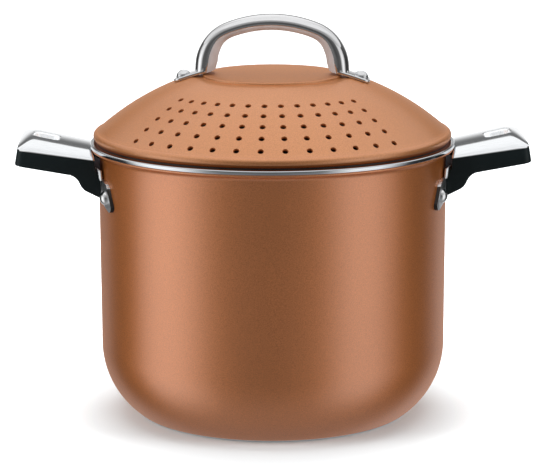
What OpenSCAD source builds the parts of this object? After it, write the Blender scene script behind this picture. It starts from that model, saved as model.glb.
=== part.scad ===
// Pasta pot: a deep copper-coloured pot with a crimped rim, a domed lid with
// a field of strainer holes, a bright arched lid handle and two side handles.
// Every side handle is a riveted yoke with a moulded grip under a domed cover.
// The pot stands on z = 0, its axis is the Z axis, its side handles lie along X
// and the strainer holes face -Y.

/* [Pot] */
// Height from the base to the top of the rim
pot_h = 162; // [130:1:200]
// Outer radius of the wall just under the rim
wall_r = 102.4; // [92:0.1:118]
// How much narrower the straight wall is at its foot
wall_draft = 0.5; // [0:0.1:2]
// Thickness of the wall
wall_t = 2.2; // [1.6:0.1:3]
// Thickness of the base
base_t = 3.2; // [2:0.1:5]
// Radius of the sweep from the wall into the base
corner_r = 49.8; // [30:0.1:60]
// Angle that the sweep turns through before the heel takes over
corner_sweep = 53; // [40:1:65]
// Radius of the heel at the edge of the base
heel_r = 9; // [4:0.5:14]
// Radius of the shallow recess in the middle of the base
recess_r = 58; // [30:1:66]
// Depth of the recess in the base
recess_d = 0.5; // [0.3:0.1:1]

/* [Rim] */
// How far the rim stands out past the wall
rim_reach = 4.85; // [3.5:0.05:7]
// Width of the rim band across its top
rim_w = 2.3; // [1.8:0.1:3]
// Height of the rim band above the lip that it is crimped on
rim_h = 2.3; // [1.8:0.1:4]
// Radius of the two upper edges of the rim band
rim_round = 0.8; // [0.3:0.1:0.9]
// Thickness of the lip under the rim band
lip_t = 1.6; // [1.3:0.1:2.5]
// Radius of the fillet between the wall and the lip
lip_fillet = 3.2; // [1.5:0.1:3.4]
// Depth of the tongue that locks the rim band into the lip
tongue_d = 0.7; // [0.3:0.1:0.9]

/* [Lid] */
// Radius of the dome
dome_r = 155.6; // [140:0.1:200]
// Radius of the flat disc on top of the lid
plateau_r = 40.3; // [30:0.1:46]
// Depth of the edge of the flat disc under the curve of the dome
plateau_sink = 0.55; // [0.3:0.05:0.9]
// Width of the hollow ring round the flat disc
plateau_ring = 7; // [4:0.5:7.5]
// Thickness of the lid
lid_t = 1.5; // [1:0.1:2.2]
// Radius of the bead round the edge of the lid
bead_r = 2.5; // [2:0.1:3]
// Height of the middle of the bead above the rim
bead_h = 4; // [3.4:0.1:5]
// How far the bead stands out over the rim band
bead_over = 0.3; // [0:0.1:0.8]
// Depth of the flange that centres the lid in the pot
flange_d = 8; // [4:0.5:14]
// Turn of the lid on the pot, seen from above
lid_turn = -5; // [-30:1:30]

/* [Strainer holes] */
// Diameter of one hole
hole_d = 3.4; // [2:0.1:4.5]
// Number of rows, counted down the dome
hole_rows = 5; // [1:1:5]
// Number of holes in one row
hole_columns = 13; // [3:2:17]
// Distance of the bottom row in from the middle of the bead
hole_edge = 3.7; // [3.4:0.1:8]
// Distance between rows, along the dome
hole_pitch = 9.5; // [6:0.1:9.8]
// Angle between neighbouring columns
hole_step = 7.9; // [5:0.1:10]

/* [Lid handle] */
// Height of the top of the arch above the flat disc
arch_h = 35; // [30:0.5:45]
// Thickness of the arch, seen from the front
arch_t = 9.4; // [6:0.1:12]
// Width of the arch, from front to back
arch_w = 17; // [14:0.5:26]
// Outer radius of the crown of the arch
crown_r = 74; // [60:1:90]
// Angle from the top of the arch to the end of its crown
crown_sweep = 22; // [18:0.5:26]
// Outer radius of the shoulders of the arch
shoulder_r = 28; // [20:0.5:32]
// Lean of the legs, outwards and down
leg_splay = 3; // [0:0.5:8]
// Length of each foot past the middle of its leg
foot_l = 16.5; // [14:0.5:20]
// Thickness of the feet
foot_t = 2; // [1.2:0.1:3]
// Distance from the end of a foot to its rivet
foot_edge = 5.2; // [4.8:0.1:7]

/* [Side handles] */
// Length of the grip, along its top edge
grip_l = 43.4; // [40:0.1:60]
// Half the width of the grip beside the pot
grip_root_w = 30; // [26:0.5:34]
// Half the width of the grip at its outer end
grip_end_w = 37; // [32:0.5:44]
// Thickness of the grip under its top edge, at its outer end
grip_t = 8.8; // [8:0.1:12]
// How much thicker the grip is where it meets its leg
grip_swell = 1.4; // [0:0.1:3]
// Upward tilt of the side handles
grip_tilt = 9.5; // [0:0.5:15]
// Depth of the top edge of the grip below the rim, at its root
grip_drop = 6.8; // [6:0.1:14]
// Depth of the leg of the grip under its top edge
leg_d = 17.7; // [16.5:0.1:22]
// Height of the domed cover over its edge
cover_h = 5.8; // [4:0.1:9]
// Height of the cover at its root, as a share of its full height
cover_root = 0.75; // [0.5:0.05:1]
// Length of the rounded nose of the cover
nose_l = 11; // [6:0.5:16]
// Thickness of the sheet of the cover
cover_t = 1; // [0.7:0.1:1.4]
// Distance of the hang slot from the outer end of the grip
slot_edge = 7.6; // [7:0.1:14]
// Length of the hang slot, outwards
slot_l = 13.5; // [9:0.1:14]
// Width of the hang slot, across the grip
slot_w = 15; // [9:0.1:24]
// Thickness of the edge of the cover that is turned down in the slot
collar_t = 1; // [0.7:0.1:1.5]

/* [Yokes and rivets] */
// Thickness of the steel of the yokes
yoke_t = 1.8; // [1.2:0.1:2.5]
// Distance of the rivets from the middle of the handle
rivet_y = 37; // [30:0.5:40]
// Depth of the rivets below the rim
rivet_z = 27.5; // [24:0.5:34]
// Distance from a rivet to the corners of the yoke beside it
ear_r = 6.3; // [5.5:0.1:8]
// Diameter of the shank of the rivets
rivet_d = 5; // [3:0.1:5.5]
// Diameter of the heads of the rivets
head_d = 8.6; // [7.5:0.1:10]
// Height of the domed heads of the rivets
head_h = 3; // [1.5:0.1:4]
// Width of the tang that runs into the grip
tang_w = 16; // [10:0.5:24]
// Thickness of the tang
tang_t = 2.5; // [1.5:0.1:3]
// Length of the tang inside the grip
tang_l = 18.5; // [17:0.5:19]
// Half the width of the heel between the pot and the grip
heel_w = 18; // [12:0.5:24]
// Depth of the heel, from the pot to the grip
heel_l = 5.1; // [4.9:0.1:6]
// Diameter of the screw in the grip
screw_d = 4; // [3:0.1:5]

/* [Fits] */
// Gap between the lid and the inside of the rim
lid_gap = 0.35; // [0.3:0.05:0.8]
// Gap under the edge of the lid, where it sits on the lip
seat_gap = 0.3; // [0.2:0.05:0.5]
// Gap between the flange of the lid and the inside of the pot
flange_gap = 0.6; // [0.4:0.1:1.2]
// Gap round rivets, screws and pieces that are assembled once
fit_gap = 0.1; // [0.05:0.05:0.2]

/* [Hidden] */
$fn = 96;

COPPER = [0.72, 0.47, 0.33];
LID_COPPER = [0.78, 0.55, 0.42];
STEEL = [0.80, 0.81, 0.83];
PHENOLIC = [0.11, 0.13, 0.14];
HEEL_GREY = [0.20, 0.20, 0.24];

// Ends of the two side handles: the left one is the right one turned round
RIGHT = 0;
LEFT = 180;

// Rim, lip and the seat of the lid
rim_r = wall_r + rim_reach;
rim_in = rim_r - rim_w;
lip_top = pot_h - rim_h;
lip_low = lip_top - lip_t;
lip_inset = 0.35;
lip_r = rim_r - lip_inset;
lid_r = rim_in - lid_gap;
seat_r = lid_r - lid_t - lid_gap;
bore_r = wall_r - wall_t;
flare_h = 6;
flare_land = 1;
tongue_w = rim_w / 3;
tongue_r = rim_in + rim_w / 2;

// Lid
lid_low = lip_top + seat_gap;
bead_z = pot_h + bead_h;
bead_c = rim_in + bead_over - bead_r;
bead_join = 0.5;
dome_z = bead_z + bead_r + 0.1 * bead_join - sqrt(pow(dome_r, 2) - pow(bead_c, 2));
flange_r = bore_r - flange_gap;
plateau_z = dome_at(plateau_r) - plateau_sink;

// Arch of the lid handle, measured on its middle line
arch_crown = crown_r - arch_t / 2;
arch_shoulder = shoulder_r - arch_t / 2;
arch_top = plateau_z + arch_h - arch_t / 2;
shoulder_x = (arch_crown - arch_shoulder) * sin(crown_sweep);
shoulder_z = arch_top - arch_crown + (arch_crown - arch_shoulder) * cos(crown_sweep);
leg_x = shoulder_x + arch_shoulder * cos(leg_splay);
leg_z = shoulder_z + arch_shoulder * sin(leg_splay);
leg_reach = leg_z - plateau_z + arch_t;
foot_end = leg_x + foot_l;
foot_round = 4;
lid_rivet_x = foot_end - foot_edge;
lid_rivet_tip = asin(lid_rivet_x / dome_r);
inner_head_h = 1.1;

// Yoke: the ears droop outwards from the middle band
yoke_top = pot_h - rivet_z + 1.5 * ear_r;
yoke_low = yoke_top - 1.2 * ear_r;
ear_point = ear_r * [1.8, -1.55];

// Side handles: their own frame starts at the root of the top edge of the grip
grip_x = wall_r + heel_l / 2;
grip_z = pot_h - grip_drop;
heel_r_out = wall_r + heel_l;
root_r = max(rim_r + 0.4, heel_r_out + 0.25);
yoke_in = wall_r + fit_gap / 2;
yoke_out = yoke_in + yoke_t;
leg_r = yoke_out + fit_gap;
tang_top = -3;
tang_in = -2.4;
heel_low = grip_z + tang_top - tang_t;
heel_slope = heel_l / 5;
slant_r = leg_r + 0.45 * yoke_t;
slant_z = yoke_top + ear_r / 4;
nose_round = 2.6;
crotch_x = 7.95;
crotch_round = 8;
knee_x = 2.6;
knee_round = 8;
toe_slope = 0.333;
toe_x = -14;
corner_round = 5;
grip_under = grip_t + grip_swell;
end_bow = 2.4;
cover_l = grip_l + end_bow;
slot_out = grip_l - slot_edge;
slot_in = slot_out - slot_l;
slot_round = 3;
screw_x = 15;
screw_head_d = 1.75 * screw_d;
screw_head_h = 2.2;
screw_sink = 0.6;

rivet_turn = asin(rivet_y / yoke_out);
reach = 2 * wall_r;

// Small sums used by more than one outline
function polar(r, a) = [r * cos(a), r * sin(a)];
function unit(v) = v / norm(v);
function turn_by(a) = a > 180 ? a - 360 : (a < -180 ? a + 360 : a);

// One corner of an outline, rounded with an arc of radius r between a and b
function corner_arc(a, p, b, r, steps) =
    let (
        u = unit(a - p),
        v = unit(b - p),
        half = acos(min(1, max(-1, u * v))) / 2,
        c = p + unit(u + v) * r / sin(half),
        s = p + u * r / tan(half) - c,
        e = p + v * r / tan(half) - c,
        from = atan2(s.y, s.x),
        swing = turn_by(atan2(e.y, e.x) - from)
    )
    [for (i = [0:steps]) c + polar(r, from + swing * i / steps)];

// An outline from corners given as [x, y, radius]
function rounded(corners, steps = 8) =
    let (n = len(corners))
    [
        for (i = [0:n - 1])
            let (
                p = corners[i],
                a = corners[(i + n - 1) % n],
                b = corners[(i + 1) % n]
            )
            each p.z > 0
                ? corner_arc([a.x, a.y], [p.x, p.y], [b.x, b.y], p.z, steps)
                : [[p.x, p.y]]
    ];

// A slice of a disc round point c, from angle a to angle b
module slice(c, r, a, b) {
    intersection() {
        translate(c) circle(r);
        polygon([c, c + polar(2 * r, a), c + polar(2 * r, (a + b) / 2), c + polar(2 * r, b)]);
    }
}

// Half of the pot's section, filled: used for its outside and for its hollow
module pot_half(top_r, foot_r, sweep_r, edge_r, low, top) {
    start = low + sweep_r * sin(corner_sweep) + edge_r * (1 - sin(corner_sweep));
    c = [foot_r - sweep_r, start];
    d = c + polar(sweep_r - edge_r, -corner_sweep);
    inside = c + polar(sweep_r / 2, -corner_sweep / 2);
    polygon([[0, low], [d.x, low], inside, [foot_r, start], [top_r, top], [0, top]]);
    slice(c, sweep_r, -corner_sweep, 0);
    translate(d) circle(edge_r);
}

module lip_section() {
    translate([0, lip_low]) square([lip_r - lip_t / 2, lip_t]);
    translate([lip_r - lip_t / 2, lip_low + lip_t / 2]) circle(lip_t / 2);
    difference() {
        translate([wall_r - wall_t, lip_low - lip_fillet]) square([wall_t + lip_fillet, lip_fillet]);
        translate([wall_r + lip_fillet, lip_low - lip_fillet]) circle(lip_fillet);
    }
}

module pot_hollow_section() {
    pot_half(bore_r, bore_r - wall_draft, corner_r - wall_t, heel_r - wall_t, base_t, pot_h);
    polygon([
        [0, lip_top - flare_h], [bore_r, lip_top - flare_h], [seat_r, lip_top - flare_land],
        [seat_r, pot_h], [0, pot_h]
    ]);
}

// Radial bores for the rivets of both yokes
module rivet_bores(d) {
    for (side = [RIGHT, LEFT], turn = [-rivet_turn, rivet_turn])
        rotate([0, 0, side + turn])
            translate([wall_r / 2, 0, pot_h - rivet_z])
                rotate([0, 90, 0]) cylinder(d = d, h = wall_r);
}

module pot_body() {
    color(COPPER) difference() {
        rotate_extrude() difference() {
            union() {
                pot_half(wall_r, wall_r - wall_draft, corner_r, heel_r, 0, lip_top);
                lip_section();
            }
            pot_hollow_section();
            translate([tongue_r - tongue_w / 2 - fit_gap / 2, lip_top - tongue_d - fit_gap])
                square([tongue_w + fit_gap, 2 * tongue_d]);
        }
        translate([0, 0, -recess_d]) cylinder(r = recess_r, h = 2 * recess_d);
        rivet_bores(rivet_d + fit_gap);
    }
}

module rim_band() {
    color(STEEL) rotate_extrude() {
        translate([rim_in, lip_top]) square([rim_w, rim_h - rim_round]);
        translate([rim_in + rim_round, lip_top]) square([rim_w - 2 * rim_round, rim_h]);
        for (x = [rim_in + rim_round, rim_r - rim_round])
            translate([x, pot_h - rim_round]) circle(rim_round);
        translate([tongue_r - tongue_w / 2, lip_top - tongue_d]) square([tongue_w, 2 * tongue_d]);
    }
}

// Height of the dome at a distance of r from the axis, with its skin moved in by t
function dome_at(r, t = 0) = dome_z + sqrt(pow(dome_r - t, 2) - pow(r, 2));

// Half of the lid's section, filled, with its skin moved in by a wall of t
module lid_half(t, low) {
    join = plateau_r + plateau_ring;
    groove = plateau_r + 0.3 * plateau_ring;
    top = plateau_z - t;
    intersection() {
        translate([0, dome_z]) circle(dome_r - t, $fn = 360);
        translate([0, low]) square([bead_c + bead_join - t, dome_r]);
        polygon([
            [0, low], [0, top], [plateau_r - 0.6, top], [plateau_r, top - 0.35],
            [groove - 1.5, top - 1.15], [groove, top - 1.5], [join, dome_at(join, t)],
            [join + 3, top], [lid_r, top], [lid_r, low]
        ]);
    }
    translate([0, low]) square([lid_r - t, bead_z - low]);
    translate([bead_c, bead_z]) circle(bead_r - t);
}

module lid_outside() {
    rotate_extrude() lid_half(0, lid_low);
}

// Places its child on the dome, pointing out along the normal
module on_dome(tip, turn) {
    rotate([0, 0, turn]) translate([0, 0, dome_z]) rotate([0, tip, 0]) children();
}

module strainer_holes() {
    last = asin((bead_c - hole_edge) / dome_r);
    step = hole_pitch / dome_r * 180 / PI;
    for (row = [0:hole_rows - 1], column = [0:hole_columns - 1])
        on_dome(last - row * step, lid_turn - 90 + (column - (hole_columns - 1) / 2) * hole_step)
            translate([0, 0, dome_r - 3 * lid_t]) cylinder(d = hole_d, h = 6 * lid_t, $fn = 24);
}

module lid_shell() {
    color(LID_COPPER) difference() {
        rotate_extrude() difference() {
            union() {
                lid_half(0, lid_low);
                translate([0, lid_low - flange_d]) square([flange_r, flange_d + lid_t]);
            }
            lid_half(lid_t, lid_low + lid_t);
            translate([0, lid_low - flange_d]) square([flange_r - lid_t, flange_d + 2 * lid_t]);
        }
        strainer_holes();
        for (side = [RIGHT, LEFT])
            on_dome(lid_rivet_tip, lid_turn + side)
                translate([0, 0, dome_r - 3 * lid_t]) cylinder(d = rivet_d + fit_gap, h = 6 * lid_t);
    }
}

// Section of the arch: a full oval, flatter on its broad sides than an ellipse
function arch_ring(fullness = 2 / 2.3) = [
    for (a = [0:12:348])
        [
            arch_t / 2 * sign(cos(a)) * pow(abs(cos(a)), fullness),
            arch_w / 2 * sign(sin(a)) * pow(abs(sin(a)), fullness)
        ]
];

// A station of the arch: its middle and its outward direction, at an angle of a
function arch_station(a) =
    let (
        out = [cos(a), sin(a)],
        side = cos(a) < 0 ? -1 : 1,
        on_crown = abs(90 - a) <= crown_sweep,
        c = on_crown ? [0, arch_top - arch_crown] : [side * shoulder_x, shoulder_z]
    )
    [c + (on_crown ? arch_crown : arch_shoulder) * out, out];

// The whole arch from foot to foot, swept along its middle line
module arch() {
    turn_out = 90 - crown_sweep;
    steps = 7;
    down = leg_reach * [sin(leg_splay), -cos(leg_splay)];
    first = arch_station(leg_splay);
    stations = concat(
        [[first[0] + down, first[1]]],
        [for (i = [0:steps]) arch_station(leg_splay + (turn_out - leg_splay) * i / steps)],
        [for (i = [1:steps]) arch_station(turn_out + 2 * crown_sweep * i / (steps + 1))],
        [for (i = [steps:-1:0]) arch_station(180 - leg_splay - (turn_out - leg_splay) * i / steps)],
        [[[-first[0].x - down.x, first[0].y + down.y], [-first[1].x, first[1].y]]]
    );
    ring = arch_ring();
    n = len(ring);
    last = len(stations) - 1;
    points = [
        for (st = stations, p = ring)
            [st[0].x + st[1].x * p.x, p.y, st[0].y + st[1].y * p.x]
    ];
    faces = concat(
        [[for (k = [0:n - 1]) k]],
        [[for (k = [n - 1:-1:0]) last * n + k]],
        [
            for (s = [0:last - 1], k = [0:n - 1])
                let (
                    a = s * n + k,
                    b = s * n + (k + 1) % n
                )
                each [[a, a + n, b], [b, a + n, b + n]]
        ]
    );
    polyhedron(points, faces);
}

// A foot follows the dome under the end of the leg and takes one rivet
module foot() {
    half = arch_w / 2;
    intersection() {
        translate([0, 0, dome_z]) sphere(dome_r + foot_t, $fn = 360);
        translate([0, 0, pot_h]) linear_extrude(plateau_z - pot_h + arch_t)
            polygon(rounded([
                [leg_x - 1, -half, 0], [foot_end, -half, foot_round],
                [foot_end, half, foot_round], [leg_x - 1, half, 0]
            ]));
    }
}

module lid_handle() {
    color(STEEL) rotate([0, 0, lid_turn]) difference() {
        union() {
            arch();
            for (side = [RIGHT, LEFT]) rotate([0, 0, side]) foot();
        }
        translate([0, 0, fit_gap]) lid_outside();
        for (side = [RIGHT, LEFT])
            on_dome(lid_rivet_tip, side)
                translate([0, 0, dome_r - 3 * lid_t])
                    cylinder(d = rivet_d + fit_gap, h = 6 * lid_t + foot_t);
    }
}

// The domed outer head of a rivet, standing on z = 0
module domed_head() {
    ball = (pow(head_d / 2, 2) + pow(head_h, 2)) / (2 * head_h);
    intersection() {
        translate([0, 0, head_h - ball]) sphere(ball);
        cylinder(d = head_d, h = head_h);
    }
}

// A rivet along +Z through a stack that runs from z = low to z = high
module rivet(low, high) {
    translate([0, 0, low]) cylinder(d = rivet_d, h = high - low + head_h / 4);
    translate([0, 0, low - inner_head_h]) cylinder(d = head_d - 1, h = inner_head_h);
    translate([0, 0, high]) domed_head();
}

module lid_rivets() {
    color(STEEL) for (side = [RIGHT, LEFT]) on_dome(lid_rivet_tip, lid_turn + side)
        rivet(dome_r - lid_t - fit_gap, dome_r + foot_t + fit_gap / 2);
}

// Half the width of the grip and the height of its cover, at x along the grip
function half_width(x) = grip_root_w + (grip_end_w - grip_root_w) * x / grip_l;
function cover_rise(x) =
    let (
        body = cover_h * (cover_root + (1 - cover_root) * min(1, x / (cover_l - nose_l))),
        into = min(1, max(0, (x - (cover_l - nose_l)) / nose_l))
    )
    body * (0.2 + 0.8 * sqrt(max(0, 1 - pow(into, 2.4))));

// Places its children in the frame of a side handle: x outwards, tilted up
module handle_frame(side) {
    rotate([0, 0, side]) translate([grip_x, 0, grip_z]) rotate([0, -grip_tilt, 0]) children();
}

// The dome of the cover as a solid with its edge at z = 0, its skin moved in by t
module cover_dome(t) {
    low = -2;
    across = 24;
    stations = [
        for (i = [0:6]) -4 + (cover_l - nose_l + 4) * i / 6,
        for (i = [1:8]) cover_l - t - (nose_l - t) * (1 - sin(90 * i / 8))
    ];
    ring = across + 3;
    points = [
        for (x = stations)
            let (w = half_width(x) - t, h = max(0.1, cover_rise(x) - t))
            each concat(
                [for (i = [0:across]) [x, -w * cos(180 * i / across), h * sin(180 * i / across)]],
                [[x, w, low], [x, -w, low]]
            )
    ];
    last = len(stations) - 1;
    faces = concat(
        [[for (k = [ring - 1:-1:0]) k]],
        [[for (k = [0:ring - 1]) last * ring + k]],
        [
            for (s = [0:last - 1], k = [0:ring - 1])
                let (
                    a = s * ring + k,
                    b = s * ring + (k + 1) % ring
                )
                each [[a, b, a + ring], [b, b + ring, a + ring]]
        ]
    );
    polyhedron(points, faces);
}

// Outline of the grip seen from above, with a slightly bowed outer end
module grip_plan(t = 0) {
    polygon(rounded([
        [toe_x, -half_width(toe_x) + t, 0],
        [grip_l - t, -grip_end_w + t, corner_round - t],
        for (i = [-4:4]) [grip_l - t + end_bow * (1 - pow(i / 5, 2)), (grip_end_w - t) * i / 5, 0],
        [grip_l - t, grip_end_w - t, corner_round - t],
        [toe_x, half_width(toe_x) - t, 0]
    ]));
}

// The cover as a solid from z = low up: its dome, cut to the outline of the grip
module cover_solid(t, low) {
    intersection() {
        cover_dome(t);
        translate([0, 0, low]) linear_extrude(4 * cover_h) grip_plan(t);
    }
}

// Outline of the grip seen from the side, with its leg towards the pot
module grip_side_outline() {
    toe_z = -leg_d + (toe_x - knee_x) * toe_slope;
    polygon(rounded([
        [toe_x, 0, 0],
        [grip_l + end_bow, 0, 0],
        [grip_l + end_bow - 1.1, -grip_t, nose_round],
        [crotch_x, -grip_under, crotch_round],
        [knee_x, -leg_d, knee_round],
        [toe_x, toe_z, 0]
    ]));
}

// Everything nearer to the pot's axis than the back of the grip, from the side
module pot_side(side) {
    rotate_extrude() polygon([
        [0, pot_h + reach], [root_r, pot_h + reach], [root_r, heel_low],
        [slant_r, slant_z], [leg_r, yoke_top], [leg_r, 0], [0, 0]
    ]);
}

module slot_outline(grow) {
    polygon(rounded([
        [slot_in - grow, -slot_w / 2 - grow, slot_round + grow],
        [slot_out + grow, -slot_w / 2 - grow, slot_round + grow],
        [slot_out + grow, slot_w / 2 + grow, slot_round + grow],
        [slot_in - grow, slot_w / 2 + grow, slot_round + grow]
    ]));
}

module slot_cut(grow) {
    translate([0, 0, -2 * grip_under]) linear_extrude(4 * grip_under) slot_outline(grow);
}

// The tang of the yoke, with room round it where it is used as a pocket
module tang(side, room) {
    handle_frame(side)
        translate([tang_in - room, -tang_w / 2 - room, tang_top - tang_t - room])
            cube([tang_l - tang_in + 2 * room, tang_w + 2 * room, tang_t + 2 * room]);
}

module screw_bore(side, d, head) {
    handle_frame(side) translate([screw_x, 0, 0]) {
        translate([0, 0, -2 * grip_under]) cylinder(d = d, h = 2 * grip_under + tang_top + 1);
        if (head > 0)
            translate([0, 0, -2 * grip_under])
                cylinder(d = head, h = 2 * grip_under - grip_t + screw_sink + screw_head_h);
    }
}

module grip(side) {
    color(PHENOLIC) difference() {
        handle_frame(side) intersection() {
            rotate([90, 0, 0]) translate([0, 0, -reach / 2])
                linear_extrude(reach) grip_side_outline();
            translate([0, 0, -reach / 2]) linear_extrude(reach) grip_plan();
        }
        pot_side(side);
        handle_frame(side) slot_cut(0);
        tang(side, fit_gap);
        screw_bore(side, screw_d + 2 * fit_gap, screw_head_d + 4 * fit_gap);
    }
}

// A sheet dome whose edge is turned down all round the hang slot
module grip_cover(side) {
    color(STEEL) difference() {
        handle_frame(side) difference() {
            cover_solid(0, fit_gap / 2);
            difference() {
                cover_solid(cover_t, -0.5);
                slot_cut(collar_t);
            }
            slot_cut(0);
        }
        pot_side(side);
    }
}

module grip_screw(side) {
    seat = -grip_t + screw_sink + screw_head_h;
    color(STEEL) handle_frame(side) translate([screw_x, 0, 0]) difference() {
        union() {
            translate([0, 0, seat - screw_head_h]) cylinder(d = screw_head_d, h = screw_head_h - fit_gap);
            translate([0, 0, seat - screw_head_h]) cylinder(d = screw_d, h = tang_top - seat + screw_head_h);
        }
        translate([0, 0, seat - screw_head_h]) for (turn = [0, 90]) rotate([0, 0, turn])
            cube([0.6 * screw_head_d, 1, 2], center = true);
    }
}

// The heel fills the gap between the pot and the grip, round the tang
module heel(side) {
    spread = 2 * asin(heel_w / heel_r_out);
    color(HEEL_GREY) difference() {
        rotate([0, 0, side - spread / 2]) rotate_extrude(angle = spread) polygon([
            [yoke_in, grip_z - heel_slope], [grip_x, grip_z], [heel_r_out, grip_z - heel_slope],
            [heel_r_out, heel_low + fit_gap], [slant_r + fit_gap, slant_z + ear_r / 7], [yoke_in, slant_z]
        ]);
        tang(side, fit_gap);
        yoke_neck(side, fit_gap);
    }
}

// Ring of metal against the wall of the pot, cut to the outline given as a child
module wrapped(side, inner, outer) {
    rotate([0, 0, side]) intersection() {
        translate([0, 0, pot_h / 2]) difference() {
            cylinder(r = outer, h = pot_h / 2, $fn = 180);
            translate([0, 0, -1]) cylinder(r = inner, h = pot_h, $fn = 180);
        }
        rotate([90, 0, 90]) linear_extrude(reach) children();
    }
}

module yoke_neck(side, room) {
    wrapped(side, yoke_in - room, yoke_out + room)
        translate([-tang_w / 2 - room, yoke_top - 3])
            square([tang_w + 2 * room, grip_z + tang_top - yoke_top + 3]);
}

// Half of the outline ends in a pointed ear that droops away from the grip
module yoke_outline() {
    ear = [rivet_y, pot_h - rivet_z];
    half = [
        [ear.x - 1.9 * ear_r, yoke_low, 4],
        [ear.x - 0.6 * ear_r, ear.y - 0.65 * ear_r, 3],
        [ear.x + ear_point.x, ear.y + ear_point.y, 2.8],
        [ear.x + 0.35 * ear_r, ear.y + 1.25 * ear_r, 5],
        [ear.x - 0.5 * ear_r, yoke_top, 4]
    ];
    polygon(rounded([
        each half,
        for (i = [len(half) - 1:-1:0]) [-half[i].x, half[i].y, half[i].z]
    ]));
}

module yoke(side) {
    color(STEEL) difference() {
        union() {
            wrapped(side, yoke_in, yoke_out) yoke_outline();
            yoke_neck(side, 0);
            difference() {
                tang(side, 0);
                cylinder(r = yoke_in, h = 2 * pot_h, $fn = 180);
            }
        }
        rivet_bores(rivet_d + fit_gap);
        screw_bore(side, screw_d + fit_gap, 0);
    }
}

module yoke_rivets(side) {
    color(STEEL) for (turn = [-rivet_turn, rivet_turn])
        rotate([0, 0, side + turn]) translate([0, 0, pot_h - rivet_z]) rotate([0, 90, 0])
            rivet(bore_r - wall_draft / 4 - 2 * fit_gap, yoke_out + fit_gap / 2);
}

pot_body();
rim_band();
yoke(LEFT);  // left_yoke
yoke_rivets(LEFT);  // left_yoke_rivets
heel(LEFT);  // left_heel
grip(LEFT);  // left_grip
grip_cover(LEFT);  // left_grip_cover
grip_screw(LEFT);  // left_grip_screw
yoke(RIGHT);  // right_yoke
yoke_rivets(RIGHT);  // right_yoke_rivets
heel(RIGHT);  // right_heel
grip(RIGHT);  // right_grip
grip_cover(RIGHT);  // right_grip_cover
grip_screw(RIGHT);  // right_grip_screw
lid_shell();
lid_handle();
lid_rivets();
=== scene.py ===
# %% [markdown]
# # A copper-coloured pasta pot with a strainer lid
# The pot is a deep drawn can with a bright crimped rim. A domed lid with a
# field of holes drops into the rim, and two moulded grips hang on steel yokes.
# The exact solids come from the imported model. This lesson dresses them: it
# turns, sweeps and bevels finished skins over the solids, gives each surface a
# procedural finish, and sets the studio that shows them.

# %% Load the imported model
import math
import bpy
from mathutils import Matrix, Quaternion, Vector


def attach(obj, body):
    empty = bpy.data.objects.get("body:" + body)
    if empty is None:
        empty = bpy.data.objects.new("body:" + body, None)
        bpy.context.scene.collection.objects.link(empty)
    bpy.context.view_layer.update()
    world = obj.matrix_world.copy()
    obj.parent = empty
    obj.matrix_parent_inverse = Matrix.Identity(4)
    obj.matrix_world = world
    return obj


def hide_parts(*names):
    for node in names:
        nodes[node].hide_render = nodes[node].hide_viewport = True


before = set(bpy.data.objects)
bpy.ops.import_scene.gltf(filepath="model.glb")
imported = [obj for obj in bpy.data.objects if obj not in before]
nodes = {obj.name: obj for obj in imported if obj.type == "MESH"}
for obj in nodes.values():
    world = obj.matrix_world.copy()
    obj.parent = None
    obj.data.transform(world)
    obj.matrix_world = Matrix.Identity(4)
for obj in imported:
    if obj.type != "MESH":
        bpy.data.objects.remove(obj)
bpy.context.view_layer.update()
print("nodes:", sorted(nodes))

# %% [markdown]
# ## The camera comes first
# Everything is judged through it, so it is set before any piece is made. The
# photograph looks down by about eleven degrees from a good distance with a
# long lens, which is how shops show cookware: a long lens keeps the rim's
# ellipse calm. The roll is a small lean of the tripod.

# %% The camera
DISTANCE = 1.5
AZIMUTH, ELEVATION, ROLL = (math.radians(a) for a in (-1.2, 11.49, 0.17))
back = Vector((math.sin(AZIMUTH) * math.cos(ELEVATION),
               -math.cos(AZIMUTH) * math.cos(ELEVATION),
               math.sin(ELEVATION)))
aside = Vector((math.cos(AZIMUTH), math.sin(AZIMUTH), 0)) * -0.00155
look_at = Vector((0, 0, 0.1055)) + aside
bpy.ops.object.camera_add(location=look_at + back * DISTANCE)
camera = bpy.context.object
camera.name = "camera"
camera.data.lens = 168.3
camera.data.sensor_width = 36
camera.data.clip_start, camera.data.clip_end = 0.05, 50
camera.rotation_mode = "QUATERNION"
aim = (-back).to_track_quat("-Z", "Y")
camera.rotation_quaternion = aim
camera.rotation_quaternion.rotate(Quaternion(back, -ROLL))
bpy.context.scene.camera = camera
print("camera at", [round(c, 3) for c in camera.location])

# %% [markdown]
# ## Small helpers for modelling by hand
# An operator works on whatever is selected, so each step starts by letting go
# of everything. Edges and faces are picked by a test on their place, as one
# would pick them with a mouse. The same few steps come back for every piece:
# copy it, join it, cut it with another, round its edges.

# %% Selecting and finishing helpers
MM = 0.001


def mode(name):
    bpy.ops.object.mode_set(mode=name)


def let_go():
    if bpy.context.object and bpy.context.object.mode != "OBJECT":
        mode("OBJECT")
    bpy.ops.object.select_all(action="DESELECT")


def only(piece):
    let_go()
    piece.select_set(True)
    bpy.context.view_layer.objects.active = piece


def add(kind, **settings):
    """Adds a plain mesh, such as a plane or a grid."""
    let_go()
    getattr(bpy.ops.mesh, f"primitive_{kind}_add")(**settings)
    return bpy.context.object


def pick(piece, kind, test):
    """In edit mode, selects the verts, edges or faces that pass a test."""
    bpy.ops.mesh.select_all(action="DESELECT")
    bpy.ops.mesh.select_mode(type={"vertices": "VERT", "edges": "EDGE", "polygons": "FACE"}[kind])
    mode("OBJECT")
    found = [e for e in getattr(piece.data, kind) if test(e)]
    for e in found:
        e.select = True
    mode("EDIT")
    return len(found)


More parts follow.
